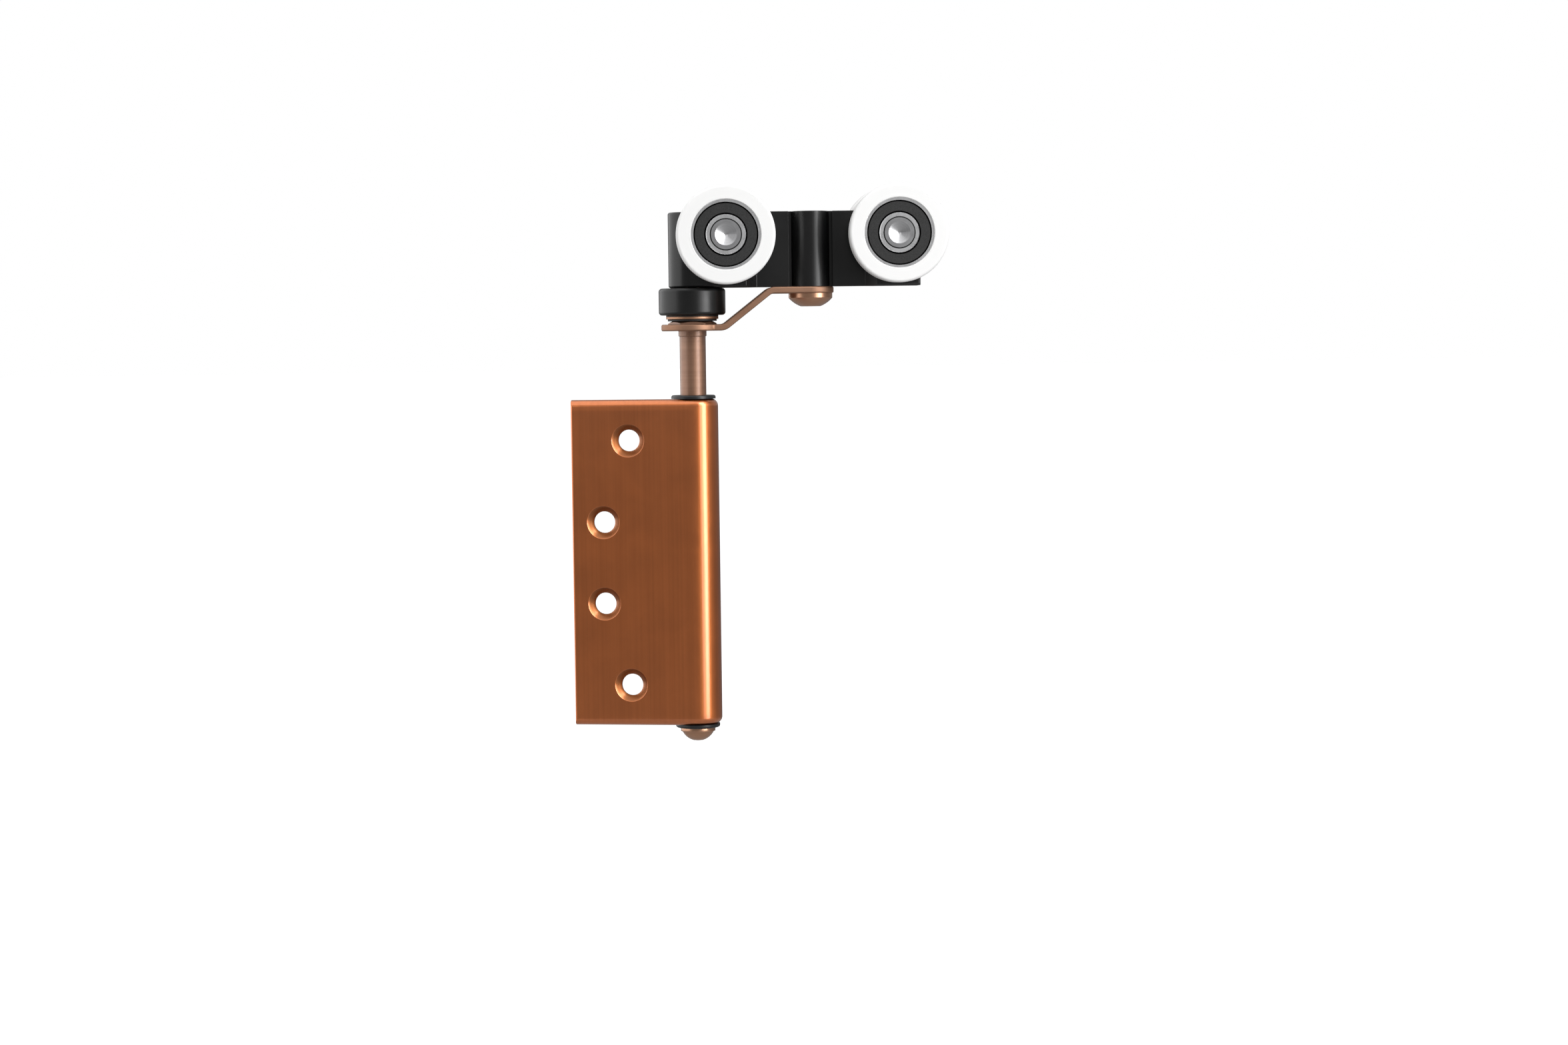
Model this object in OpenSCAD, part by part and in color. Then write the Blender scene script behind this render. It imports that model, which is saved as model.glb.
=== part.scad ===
// Top-hung roller carriage with a pivot hinge leaf, for a sliding and folding door.
// Millimetres. The origin is the middle of the guide roller, on the vertical pivot axis.
// +Z is up, +X runs along the track towards the wheels, and the leaf lies towards -X,
// with its free edge swung back a little.

/* [Leaf] */
// Height of the leaf
leaf_h = 100; // [70:1:160]
// Distance from the pivot axis to the leaf's free edge
leaf_reach = 37; // [34:0.5:60]
// Swing of the leaf as it hangs here, its free edge turned back from straight along the track
leaf_angle = 12; // [-90:1:90]
// Thickness of the plate that the leaf is rolled from
plate_t = 2.5; // [2.4:0.1:3.2]
// Rounding of the leaf's front edges, top and bottom
leaf_round = 2.2; // [0.4:0.1:2.2]
// Rounding of the leaf's upright free edge
leaf_edge_round = 0.7; // [0.3:0.1:1]
// Seam between the end of the roll and the back of the plate
seam = 0.4; // [0.2:0.1:1]
// Height between one screw hole and the next
hole_pitch = 25; // [14:0.5:36]
// Distance from the pivot axis to the two outer screw holes
hole_near = 19.2; // [14:0.1:24]
// Distance from the pivot axis to the two inner screw holes
hole_far = 27.2; // [20:0.1:31]
// Diameter of the screw holes
hole_d = 6.6; // [4:0.1:7.5]
// Diameter of the countersinks at the front face
sink_d = 10.2; // [8:0.1:11]

/* [Pivot] */
// Diameter of the pivot shaft
shaft_d = 8; // [6:0.1:9]
// Height from the guide roller's middle down to the top of the leaf
leaf_drop = 29.6; // [20:0.2:60]
// Wall of the flanged bushes
bush_wall = 0.95; // [0.7:0.05:1.5]
// Length of each bush inside the barrel
bush_l = 14; // [8:0.5:25]
// Diameter of the bush flanges
flange_d = 13.6; // [12.5:0.1:15]
// Thickness of the bush flanges
flange_t = 1.1; // [0.6:0.1:2]
// Rounding of the flanges' outer rims
flange_round = 0.6; // [0.2:0.1:0.6]
// Running clearance on the radius between shaft and bush, or shaft and roller
running = 0.05; // [0.02:0.01:0.09]
// Diameter of the collar under the dome screw's seat
dome_collar_d = 10.6; // [9:0.1:13]
// Thickness of that collar
dome_collar_t = 1.2; // [0.5:0.1:2]
// Diameter of the dome head at its base
dome_d = 9.8; // [8:0.1:12]
// Height of the dome head
dome_h = 3.1; // [2:0.1:4.5]
// Diameter of the dome screw's shank
dome_shank_d = 5; // [4:0.5:5]
// Length of the dome screw's shank
dome_shank_l = 12; // [6:0.5:20]
// Width across the flats of the socket in the dome screw
dome_socket_af = 3; // [2:0.5:4]
// Depth of the socket in the dome screw
dome_socket_depth = 2; // [1:0.1:2.5]

/* [Guide roller and washers] */
// Diameter of the guide roller
roller_d = 20.4; // [17:0.1:24]
// Height of the guide roller
roller_h = 8.2; // [6:0.1:12]
// Rounding of the guide roller's rims
roller_round = 1; // [0.3:0.1:1.5]
// Gap between the guide roller and the carriage above it
roller_gap = 0.1; // [0.1:0.1:1]
// Diameter of the friction washer under the roller
wash_top_d = 16; // [12:0.1:18]
// Thickness of the friction washer under the roller
wash_top_t = 0.4; // [0.3:0.1:1]
// Diameter of the metal washer
wash_mid_d = 16; // [12:0.1:18]
// Thickness of the metal washer
wash_mid_t = 0.8; // [0.5:0.1:1.5]
// Diameter of the friction washer on the hexagon
wash_low_d = 15; // [12:0.1:18]
// Thickness of the friction washer on the hexagon
wash_low_t = 0.6; // [0.3:0.1:1]
// Width across the flats of the shaft's hexagon
hex_af = 13; // [11:0.5:14]
// Height of the hexagon above the locking strap
hex_above = 1; // [0.5:0.1:3]
// Diameter of the shoulder under the hexagon
shoulder_d = 8.6; // [8.2:0.1:10]
// Height of the shoulder under the strap
shoulder_h = 1.6; // [0.5:0.1:4]
// Diameter of the flat on top of the hexagon, inside the chamfer of its corners
hex_face_d = 12.4; // [10.5:0.1:12.8]
// Chamfer at the shaft's upper end, as high as it is wide
shaft_tip = 0.8; // [0.3:0.1:1.5]

/* [Locking strap] */
// Thickness of the strap
strap_t = 2; // [1.5:0.1:3]
// Width of the strap
strap_w = 14.2; // [10:0.1:17]
// Outside diameter of the ring round the hexagon
ring_d = 19; // [18:0.1:20]
// Clearance between the ring's hexagonal hole and the hexagon
hex_play = 0.1; // [0.05:0.05:0.3]
// Slope of the strap's middle run
strap_angle = 38; // [30:1:55]
// Inside radius of the strap's bends
bend_r = 2.5; // [1:0.1:3]
// Distance from the pivot axis to the strap's lower bend
bend_x = 10; // [9.6:0.1:12]
// Diameter of the strap screw's shank
screw_d = 8; // [6:0.5:9]
// Length of the strap screw's shank
screw_l = 16; // [10:0.5:20]
// Diameter of the strap screw's head
screw_head_d = 13.4; // [11:0.1:15]
// Height of the strap screw's head
screw_head_h = 4; // [3:0.1:5]
// Height of the upright rim of the strap screw's head
screw_rim_h = 1.4; // [0.6:0.1:2]
// Diameter of the flat under the strap screw's head
screw_flat_d = 6; // [6:0.1:9.5]
// Width across the flats of the socket in the strap screw
socket_af = 5; // [3:0.5:6]
// Depth of the socket in the strap screw
socket_depth = 2; // [1:0.1:2.5]

/* [Carriage body] */
// Thickness of the carriage body through its pads
body_t = 14.2; // [13:0.1:18]
// Height of the carriage body
body_h = 23; // [21:0.5:32]
// Distance from the pivot axis to the middle boss
boss_x = 36.3; // [34:0.1:44]
// Diameter of the middle boss
boss_d = 12; // [11:0.1:13]
// Half the length of the recess between the pads, where it is deepest
recess_half = 16.6; // [15:0.1:20]
// Length of the slope from the recess up to each pad
slope_l = 3.3; // [1:0.1:4]
// Thickness of the web in the recess
web_t = 7; // [5:0.1:9]
// Width of the relief groove round the middle boss
groove_w = 1.5; // [0.8:0.1:2]
// Thickness left under the relief grooves
groove_web = 3.6; // [2:0.1:4.5]
// Distance from the middle boss to the square end of the body
end_reach = 33.3; // [32:0.1:42]
// Rounding of the body's outer edges
body_round = 0.7; // [0.3:0.1:1.2]

/* [Wheels] */
// Distance between the two axles
wheelbase = 52.4; // [50:0.1:58]
// Height of the axles above the underside of the body
axle_z = 15.8; // [11:0.1:18]
// Diameter of the axles
axle_d = 8; // [6:0.5:8]
// Outside diameter of the wheels
wheel_d = 30; // [27:0.1:34]
// Width of the wheel tyres
wheel_w = 8; // [7.5:0.1:9.5]
// Rounding of the tyre's rims
wheel_round = 0.8; // [0.3:0.1:1.5]
// Diameter inside the tyre's two lips, which hold the bearing in it
lip_d = 21.2; // [20.6:0.1:21.4]
// Chamfer round the inside of each lip
lip_chamfer = 0.2; // [0.05:0.05:0.2]
// Thickness of the spacer between the body and each bearing
spacer_t = 2; // [1.2:0.1:3]
// Diameter of the spacers
spacer_d = 12; // [10:0.1:12.4]
// Diameter of the axle's upset head
head_d = 9.2; // [8.6:0.1:9.8]
// Height of the upset head over the bearing's face
head_proud = 0.3; // [0.1:0.1:0.6]
// Diameter of the conical dimple in each axle head
dimple_d = 6.6; // [4:0.1:7]
// Depth of the conical dimple
dimple_depth = 1.5; // [0.5:0.1:2]

/* [Ball bearings] */
// Outside diameter of the bearings
brg_od = 22; // [21.5:0.5:22]
// Width of the bearings
brg_w = 7; // [6.5:0.5:7]
// Outside diameter of the inner ring
inner_od = 12.1; // [11.8:0.1:12.4]
// Diameter of the step in the outer ring that the seals sit in
seal_od = 19.6; // [19:0.1:20]
// Diameter of the circle that the balls run on
pitch_d = 15; // [14.8:0.1:15.2]
// Diameter of the balls
ball_d = 3.7; // [3.4:0.1:3.8]
// Number of balls
ball_count = 7; // [5:1:8]
// Clearance round each ball in its race and cage
ball_play = 0.12; // [0.08:0.01:0.2]
// Width of the cage from its inner to its outer edge
cage_w = 1.5; // [1:0.1:1.6]
// Thickness of the cage behind the balls
cage_wall = 0.35; // [0.2:0.05:0.5]
// Reach of the cage's prongs past the middle of the balls
cage_reach = 0.9; // [0.5:0.1:1.4]
// Bore of the outer ring between its race and the seals
shoulder_bore = 18; // [17.6:0.1:18.4]
// Thickness of the seals
seal_t = 0.7; // [0.5:0.1:0.9]
// Depth of the seals under the bearing's faces
seal_inset = 0.25; // [0.1:0.05:0.4]
// Chamfer round the outside and inside of each seal's outer face
seal_chamfer = 0.3; // [0.1:0.05:0.4]
// Gap between the seals' lips and the inner ring
seal_lip = 0.1; // [0.05:0.05:0.2]
// Chamfer of the rings' corners
ring_chamfer = 0.4; // [0.2:0.1:0.5]

/* [Hidden] */
$fn = 96;
// Clearance on the radius between pieces that are pressed or screwed together
fit = 0.02;
// The tapped hole in the shaft's lower end runs on past the dome screw's tip
tap_spare = 1;
// Sides of the rings that the round of each ball is drawn with
ball_fn = 48;
// A cutter passes this far beyond what it cuts
over = 1;

// Heights of the stack on the pivot axis, downwards from the guide roller
z_wash_top = -roller_h / 2;
z_wash_mid = z_wash_top - wash_top_t;
z_wash_low = z_wash_mid - wash_mid_t;
z_hex_top = z_wash_low - wash_low_t;
z_strap_top = z_hex_top - hex_above;
z_strap_low = z_strap_top - strap_t;
z_shoulder_low = z_strap_low - shoulder_h;
z_leaf_top = -leaf_drop;
z_leaf_mid = z_leaf_top - leaf_h / 2;
z_leaf_low = z_leaf_top - leaf_h;
z_shaft_low = z_leaf_low - flange_t;

// Heights of the carriage, upwards from the guide roller
z_body_low = roller_h / 2 + roller_gap;
z_body_top = z_body_low + body_h;
z_axle = z_body_low + axle_z;
z_screw_seat = z_body_low - strap_t;

// Radii worked out from the mating pieces
shaft_r = shaft_d / 2;
bush_r = shaft_r + running + bush_wall;
barrel_in_r = bush_r + fit;
barrel_r = barrel_in_r + plate_t;
y_plate_front = -barrel_r;
y_plate_back = -barrel_in_r;
// The screw holes' places across the leaf, from the lowest to the highest
hole_x = [-hole_near, -hole_far, -hole_far, -hole_near];
body_r = body_t / 2;

// Places of the wheels: along X, and outwards from the middle plane
wheel_x = [boss_x - wheelbase / 2, boss_x + wheelbase / 2];
y_brg_in = body_r + spacer_t;
y_brg_mid = y_brg_in + brg_w / 2;
y_brg_out = y_brg_in + brg_w;
race_r = ball_d / 2 + ball_play;
cage_back = race_r + cage_wall;

// Name of each wheel, its index along X, and -1 at the front or 1 at the rear
CORNERS = [
    ["front_left", 0, -1], ["front_right", 1, -1],
    ["rear_left", 0, 1], ["rear_right", 1, 1]
];
WHEEL_PIECES = ["tyre", "outer_ring", "inner_ring", "seals", "balls", "ball_cage", "spacer"];

// ---------------------------------------------------------------- shared forms

// A plain round washer, standing up from z
module washer(d, hole, t, z) {
    translate([0, 0, z])
        difference() {
            cylinder(d = d, h = t);
            translate([0, 0, -over])
                cylinder(d = hole, h = t + 2 * over);
        }
}

// A rectangle from the origin with the two corners at its far end rounded
module round_ended(w, h, round) {
    difference() {
        square([w, h]);
        for (end = [0, 1])
            translate([w - round, end * h])
                mirror([0, end])
                    difference() {
                        translate([0, -over])
                            square(round + over);
                        translate([0, round])
                            circle(r = round);
                    }
    }
}

// Carries what is modelled about Z, with +Z outwards, to one wheel's place
module at_wheel(c, y) {
    translate([wheel_x[c[1]], c[2] * y, z_axle])
        rotate([c[2] > 0 ? -90 : 90, 0, 0])
            children();
}

// A hexagonal prism standing up from z, with flats facing the front and back
module hexagon(af, h, z) {
    translate([0, 0, z])
        cylinder(d = af / cos(30), h = h, $fn = 6);
}

// ---------------------------------------------------------------- leaf and pivot

// The flat of the leaf: rounded along its top and bottom front edges and its free edge
module plate() {
    intersection() {
        translate([-leaf_reach, 0, 0])
            rotate([90, 0, 90])
                linear_extrude(leaf_reach)
                    translate([y_plate_back, leaf_h])
                        rotate(180)
                            round_ended(plate_t, leaf_h, leaf_round);
        linear_extrude(leaf_h)
            translate([0, y_plate_back])
                rotate(180)
                    round_ended(leaf_reach, plate_t, leaf_edge_round);
    }
}

module countersunk_hole(x, z) {
    sink_depth = (sink_d - hole_d) / 2;
    translate([x, y_plate_front, z])
        rotate([-90, 0, 0]) {
            translate([0, 0, -over])
                cylinder(d = hole_d, h = plate_t + 2 * over);
            cylinder(d1 = sink_d, d2 = hole_d, h = sink_depth);
            translate([0, 0, -over])
                cylinder(d = sink_d, h = over);
        }
}

// One plate, rolled into a barrel at its edge: the end of the roll stops at the plate's back
module hinge_leaf() {
    color("#a4673f")
        rotate(-leaf_angle)
            difference() {
                translate([0, 0, z_leaf_low]) {
                    plate();
                    rotate_extrude()
                        round_ended(barrel_r, leaf_h, leaf_round);
                }
                translate([0, 0, z_leaf_low - over])
                    cylinder(r = barrel_in_r, h = leaf_h + 2 * over);
                translate([-barrel_r - over, y_plate_back, z_leaf_low - over])
                    cube([barrel_r + over, seam, leaf_h + 2 * over]);
                for (i = [0 : len(hole_x) - 1])
                    countersunk_hole(hole_x[i], z_leaf_mid + (i - (len(hole_x) - 1) / 2) * hole_pitch);
            }
}

// Flanged bush, pressed into one end of the barrel: up is 1 at the top and -1 at the bottom
module bush(z, up) {
    color("#1b1b1d")
        translate([0, 0, z])
            rotate([up > 0 ? 0 : 180, 0, 0])
                difference() {
                    union() {
                        rotate_extrude()
                            intersection() {
                                translate([0, -flange_t])
                                    round_ended(flange_d / 2, 2 * flange_t, flange_round);
                                square([flange_d, flange_t]);
                            }
                        translate([0, 0, -bush_l])
                            cylinder(r = bush_r, h = bush_l + flange_t);
                    }
                    translate([0, 0, -bush_l - over])
                        cylinder(r = shaft_r + running, h = bush_l + flange_t + 2 * over);
                }
}

// Turned shaft: a running length for the leaf, a shoulder, a hexagon with chamfered corners,
// and a shank up through the guide roller that screws into the carriage body
module pivot_shaft() {
    top = z_body_top - shaft_tip;
    hex_h = z_hex_top - z_strap_low;
    color("#9a6f55")
        difference() {
            union() {
                translate([0, 0, z_shaft_low])
                    cylinder(r = shaft_r, h = top - shaft_tip - z_shaft_low);
                translate([0, 0, top - shaft_tip])
                    cylinder(r1 = shaft_r, r2 = shaft_r - shaft_tip, h = shaft_tip);
                translate([0, 0, z_shoulder_low])
                    cylinder(d = shoulder_d, h = shoulder_h);
                intersection() {
                    hexagon(hex_af, hex_h, z_strap_low);
                    translate([0, 0, z_strap_low])
                        cylinder(r1 = hex_face_d / 2 + hex_h / tan(30), r2 = hex_face_d / 2, h = hex_h);
                }
            }
            translate([0, 0, z_shaft_low - over])
                cylinder(d = dome_shank_d + 2 * fit, h = dome_shank_l + tap_spare + over);
        }
}

// Dome-headed screw with a collar, which holds the leaf up on the shaft
module dome_screw() {
    sphere_r = (pow(dome_d / 2, 2) + pow(dome_h, 2)) / (2 * dome_h);
    z_head = z_shaft_low - dome_collar_t;
    color("#9a6f55")
        difference() {
            union() {
                translate([0, 0, z_shaft_low])
                    cylinder(d = dome_shank_d, h = dome_shank_l);
                translate([0, 0, z_head])
                    cylinder(d = dome_collar_d, h = dome_collar_t);
                intersection() {
                    translate([0, 0, z_head - dome_h + sphere_r])
                        sphere(r = sphere_r);
                    translate([0, 0, z_head - dome_h])
                        cylinder(d = dome_d, h = dome_h);
                }
            }
            hexagon(dome_socket_af, dome_socket_depth + over, z_head - dome_h - over);
        }
}

// ---------------------------------------------------------------- guide roller and its washers

module guide_roller() {
    color("#222224")
        translate([0, 0, -roller_h / 2])
            difference() {
                rotate_extrude()
                    round_ended(roller_d / 2, roller_h, roller_round);
                translate([0, 0, -over])
                    cylinder(r = shaft_r + running, h = roller_h + 2 * over);
            }
}

module friction_washer_upper() {
    color("#151516")
        washer(wash_top_d, shaft_d + 2 * running, wash_top_t, z_wash_mid);
}

module metal_washer() {
    color("#b98463")
        washer(wash_mid_d, shaft_d + 2 * running, wash_mid_t, z_wash_low);
}

module friction_washer_lower() {
    color("#151516")
        washer(wash_low_d, shaft_d + 2 * running, wash_low_t, z_hex_top);
}

// ---------------------------------------------------------------- locking strap

// A flat stretch of the strip's side section, and what follows it
module run(length) {
    square([length, strap_t]);
    translate([length, 0])
        children();
}

// A bend in the strip's side section, and what follows it: a positive angle turns upwards
module bend(angle) {
    // The side of squares that cover more than the bend
    far = 4 * (bend_r + strap_t);
    low = angle > 0 ? -far : 0;
    centre_y = angle > 0 ? strap_t + bend_r : -bend_r;
    translate([0, centre_y]) {
        intersection() {
            difference() {
                circle(r = bend_r + strap_t);
                circle(r = bend_r);
            }
            translate([0, low])
                square(far);
            rotate(angle)
                translate([-far, low])
                    square(far);
        }
        rotate(angle)
            translate([0, -centre_y])
                children();
    }
}

// Side section of the strap, X across and Z up: lower flat, bend, slope, bend, upper flat
module strap_section() {
    a = strap_angle;
    drop = z_screw_seat - z_strap_low;
    x_low = bend_x - (bend_r + strap_t) * tan(a / 2);
    slope = (drop - (2 * bend_r + strap_t) * (1 - cos(a))) / sin(a);
    x_up = x_low + (2 * bend_r + strap_t) * sin(a) + slope * cos(a);
    translate([-ring_d / 2, z_strap_low])
        run(ring_d / 2 + x_low)
            bend(a)
                run(slope)
                    bend(-a)
                        run(boss_x + strap_w / 2 - x_up);
}

// Plan of the strap: a ring at the shaft, and a round end at the screw
module strap_plan() {
    circle(d = ring_d);
    translate([0, -strap_w / 2])
        square([boss_x, strap_w]);
    translate([boss_x, 0])
        circle(d = strap_w);
}

// Bent from sheet: its ring fits over the shaft's hexagon and keeps the set height of the door
module locking_strap() {
    color("#b98463")
        difference() {
            intersection() {
                translate([0, ring_d, 0])
                    rotate([90, 0, 0])
                        linear_extrude(2 * ring_d)
                            strap_section();
                translate([0, 0, z_strap_low - over])
                    linear_extrude(z_body_low - z_strap_low + 2 * over)
                        strap_plan();
            }
            hexagon(hex_af + 2 * hex_play, strap_t + 2 * over, z_strap_low - over);
            translate([boss_x, 0, z_screw_seat - over])
                cylinder(d = screw_d + 2 * hex_play, h = strap_t + 2 * over);
        }
}

// Button-headed screw, up through the strap into the middle boss: its crown is part of a
// sphere that passes through the edge of the rim and the edge of the flat
module strap_screw() {
    head_r = screw_head_d / 2;
    flat_r = screw_flat_d / 2;
    crown_z = (pow(head_r, 2) - pow(flat_r, 2) + pow(screw_rim_h, 2) - pow(screw_head_h, 2))
              / (2 * (screw_head_h - screw_rim_h));
    color("#b98463")
        translate([boss_x, 0, z_screw_seat])
            difference() {
                union() {
                    cylinder(d = screw_d, h = screw_l);
                    intersection() {
                        translate([0, 0, -screw_head_h])
                            cylinder(r = head_r, h = screw_head_h);
                        translate([0, 0, crown_z])
                            sphere(r = norm([head_r, screw_rim_h + crown_z]));
                    }
                }
                hexagon(socket_af, socket_depth + over, -screw_head_h - over);
            }
}

// ---------------------------------------------------------------- carriage body

// One side of the recess, from the middle boss to where its slope meets the pad
module web_and_slope() {
    slope_end = recess_half + slope_l;
    polygon([[0, -web_t / 2], [recess_half, -web_t / 2], [slope_end, -body_r],
             [slope_end + over, -body_r], [slope_end + over, body_r], [slope_end, body_r],
             [recess_half, web_t / 2], [0, web_t / 2]]);
}

// Plan of the extruded body: round end at the pivot, pads at the axles, web and middle boss
module body_plan() {
    pad_in = recess_half + slope_l;
    groove_r = boss_d / 2 + groove_w;
    circle(r = body_r);
    translate([0, -body_r])
        square([boss_x - pad_in, body_t]);
    translate([boss_x + pad_in, -body_r])
        round_ended(end_reach - pad_in, body_t, body_round);
    translate([boss_x, 0]) {
        difference() {
            for (turn = [0, 180])
                rotate(turn)
                    web_and_slope();
            circle(r = groove_r);
        }
        translate([-groove_r - over, -groove_web / 2])
            square([2 * (groove_r + over), groove_web]);
        circle(d = boss_d);
    }
}

// The rounded bar and round end that bound the body: they round its outer edges
module body_envelope() {
    rotate_extrude()
        round_ended(body_r, body_h, body_round);
    rotate([90, 0, 90])
        linear_extrude(boss_x + end_reach)
            for (turn = [0, 180])
                translate([0, body_h / 2])
                    rotate(turn)
                        translate([-over, -body_h / 2])
                            round_ended(body_r + over, body_h, body_round);
}

module carriage_body() {
    color("#1d1d1f")
        difference() {
            translate([0, 0, z_body_low])
                intersection() {
                    linear_extrude(body_h)
                        body_plan();
                    body_envelope();
                }
            translate([0, 0, z_body_low - over])
                cylinder(r = shaft_r + fit, h = body_h + 2 * over);
            translate([boss_x, 0, z_body_low - over])
                cylinder(d = screw_d + 2 * fit, h = body_h + 2 * over);
            for (x = wheel_x)
                translate([x, body_r + over, z_axle])
                    rotate([90, 0, 0])
                        cylinder(d = axle_d + 2 * fit, h = body_t + 2 * over);
        }
}

// ---------------------------------------------------------------- axles and wheels

// A pin through the body and both wheels, its ends spread into the bearings' chamfers
module axle(i) {
    half = y_brg_out;
    flare = head_d / 2 - axle_d / 2;
    color("#b9bbbd")
        translate([wheel_x[i], 0, z_axle])
            for (s = [-1, 1])
                rotate([s * 90, 0, 0])
                    difference() {
                        union() {
                            cylinder(d = axle_d, h = half);
                            translate([0, 0, half - flare])
                                cylinder(d1 = axle_d, d2 = head_d, h = flare);
                            translate([0, 0, half])
                                cylinder(d = head_d, h = head_proud);
                        }
                        translate([0, 0, half + head_proud - dimple_depth])
                            cylinder(d1 = 0, d2 = dimple_d, h = dimple_depth);
                    }
}

module spacer(c) {
    color("#b9bbbd")
        at_wheel(c, body_r)
            washer(spacer_d, axle_d + 2 * fit, spacer_t, 0);
}

// Tyre, moulded round its bearing with a thin lip over each of the bearing's faces
module tyre(c) {
    lip_r = lip_d / 2;
    color("#f6f6f4")
        at_wheel(c, y_brg_mid - wheel_w / 2)
            difference() {
                rotate_extrude()
                    round_ended(wheel_d / 2, wheel_w, wheel_round);
                translate([0, 0, -over])
                    cylinder(r = lip_r, h = wheel_w + 2 * over);
                translate([0, 0, (wheel_w - brg_w) / 2])
                    cylinder(r = brg_od / 2 + fit, h = brg_w);
                for (end = [0, 1])
                    translate([0, 0, end * wheel_w])
                        mirror([0, 0, end])
                            cylinder(r1 = lip_r + lip_chamfer, r2 = lip_r, h = lip_chamfer);
            }
}

// Half section of a bearing ring between two radii, with its four corners chamfered
module ring_half(r_in, r_out, chamfer_in, chamfer_out) {
    h = brg_w / 2;
    polygon([[r_in + chamfer_in, -h], [r_out - chamfer_out, -h], [r_out, -h + chamfer_out],
             [r_out, h - chamfer_out], [r_out - chamfer_out, h], [r_in + chamfer_in, h],
             [r_in, h - chamfer_in], [r_in, -h + chamfer_in]]);
}

module outer_ring(c) {
    seal_seat = seal_inset + seal_t;
    color("#c9cacc")
        at_wheel(c, y_brg_mid)
            rotate_extrude()
                difference() {
                    ring_half(shoulder_bore / 2, brg_od / 2, ring_chamfer / 2, ring_chamfer);
                    translate([pitch_d / 2, 0])
                        circle(r = race_r);
                    for (s = [-1, 1])
                        translate([0, s * (brg_w - seal_seat + over) / 2])
                            square([seal_od, seal_seat + over], center = true);
                }
}

module inner_ring(c) {
    bore_chamfer = (head_d - axle_d) / 2;
    color("#c9cacc")
        at_wheel(c, y_brg_mid)
            rotate_extrude()
                difference() {
                    ring_half(axle_d / 2 + fit, inner_od / 2, bore_chamfer, ring_chamfer / 2);
                    translate([pitch_d / 2, 0])
                        circle(r = race_r);
                }
}

// Two rubber seals, held in the outer ring, with their lips close round the inner ring
module seals(c) {
    r_in = inner_od / 2 + seal_lip;
    r_out = seal_od / 2 - fit;
    color("#2b2b2c")
        at_wheel(c, y_brg_mid)
            for (end = [0, 1])
                mirror([0, 0, end])
                    translate([0, 0, brg_w / 2 - seal_inset - seal_t])
                        rotate_extrude()
                            polygon([[r_in, 0], [r_out, 0], [r_out, seal_t - seal_chamfer],
                                     [r_out - seal_chamfer, seal_t], [r_in + seal_chamfer, seal_t],
                                     [r_in, seal_t - seal_chamfer]]);
}

module balls(c) {
    color("#d8d9db")
        at_wheel(c, y_brg_mid)
            for (i = [0 : ball_count - 1])
                rotate([0, 0, i * 360 / ball_count])
                    translate([pitch_d / 2, 0, 0])
                        sphere(d = ball_d, $fn = ball_fn);
}

// Crown cage: a ring at the back of the balls, with prongs between them
module ball_cage(c) {
    color("#cfc6ae")
        at_wheel(c, y_brg_mid)
            difference() {
                translate([0, 0, -cage_back])
                    difference() {
                        cylinder(d = pitch_d + cage_w, h = cage_back + cage_reach);
                        translate([0, 0, -over])
                            cylinder(d = pitch_d - cage_w, h = cage_back + cage_reach + 2 * over);
                    }
                for (i = [0 : ball_count - 1])
                    rotate([0, 0, i * 360 / ball_count])
                        translate([pitch_d / 2, 0, 0])
                            sphere(r = race_r, $fn = ball_fn);
            }
}

// ---------------------------------------------------------------- nodes

carriage_body();
axle(0);  // axle_left
axle(1);  // axle_right
pivot_shaft();
guide_roller();
friction_washer_upper();
metal_washer();
friction_washer_lower();
locking_strap();
strap_screw();
hinge_leaf();
bush(z_leaf_top, 1);  // bush_upper
bush(z_leaf_low, -1);  // bush_lower
dome_screw();
for (c = CORNERS) {
    tyre(c);
    outer_ring(c);
    inner_ring(c);
    seals(c);
    balls(c);
    ball_cage(c);
    spacer(c);
}
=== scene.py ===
import bmesh
import bpy
from math import cos, pi, radians, sin
from mathutils import Matrix, Vector


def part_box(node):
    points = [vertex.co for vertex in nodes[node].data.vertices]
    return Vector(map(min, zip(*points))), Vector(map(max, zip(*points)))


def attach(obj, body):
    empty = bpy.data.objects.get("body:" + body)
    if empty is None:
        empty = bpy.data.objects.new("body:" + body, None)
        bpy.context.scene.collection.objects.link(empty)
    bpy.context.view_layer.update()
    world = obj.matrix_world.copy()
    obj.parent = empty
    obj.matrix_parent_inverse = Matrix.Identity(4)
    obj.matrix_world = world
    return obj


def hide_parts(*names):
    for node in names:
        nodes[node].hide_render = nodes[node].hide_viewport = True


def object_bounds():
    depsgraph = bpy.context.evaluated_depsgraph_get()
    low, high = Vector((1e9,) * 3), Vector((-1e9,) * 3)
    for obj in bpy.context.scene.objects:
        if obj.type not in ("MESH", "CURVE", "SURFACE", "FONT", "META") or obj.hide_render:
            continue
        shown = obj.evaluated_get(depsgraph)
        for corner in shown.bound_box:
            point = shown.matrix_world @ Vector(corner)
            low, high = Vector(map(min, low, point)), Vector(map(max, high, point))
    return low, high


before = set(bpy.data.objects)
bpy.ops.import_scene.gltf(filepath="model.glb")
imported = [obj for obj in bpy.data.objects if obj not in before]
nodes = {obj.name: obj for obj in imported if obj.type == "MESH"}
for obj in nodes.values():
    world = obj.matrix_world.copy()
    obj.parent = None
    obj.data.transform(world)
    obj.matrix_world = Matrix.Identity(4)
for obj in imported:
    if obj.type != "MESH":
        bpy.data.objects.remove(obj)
cad_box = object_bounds()


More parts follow.
